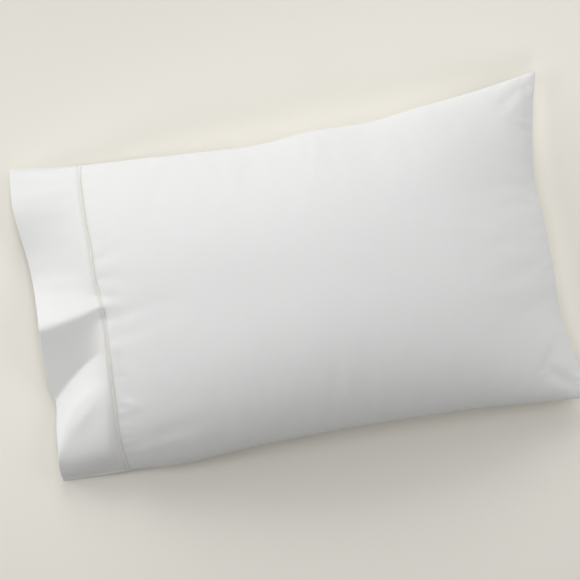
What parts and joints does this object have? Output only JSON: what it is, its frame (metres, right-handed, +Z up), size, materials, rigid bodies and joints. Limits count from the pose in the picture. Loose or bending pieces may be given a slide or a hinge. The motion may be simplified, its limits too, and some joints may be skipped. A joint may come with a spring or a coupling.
{
  "type": "filled pillowcase",
  "caption": "Plump white pillowcase lying on its back, with ears at the closed end, an open folded cuff at the mouth and a fine beige trim in the cuff's seam.",
  "frame": {"origin": "middle of the part's box, on the surface it lies on", "axes": "+X towards the closed end with its ears, -X towards the open mouth, +Z up, away from the surface"},
  "size_m": [0.8241, 0.506, 0.1518],
  "materials": {
    "white_cotton": "smooth matt woven cotton",
    "beige_trim": "fine corded beige cotton"
  },
  "bodies": {
    "root": {"case_body": "white_cotton", "cuff": "white_cotton", "seam_trim": "beige_trim"}
  },
  "joints": []
}
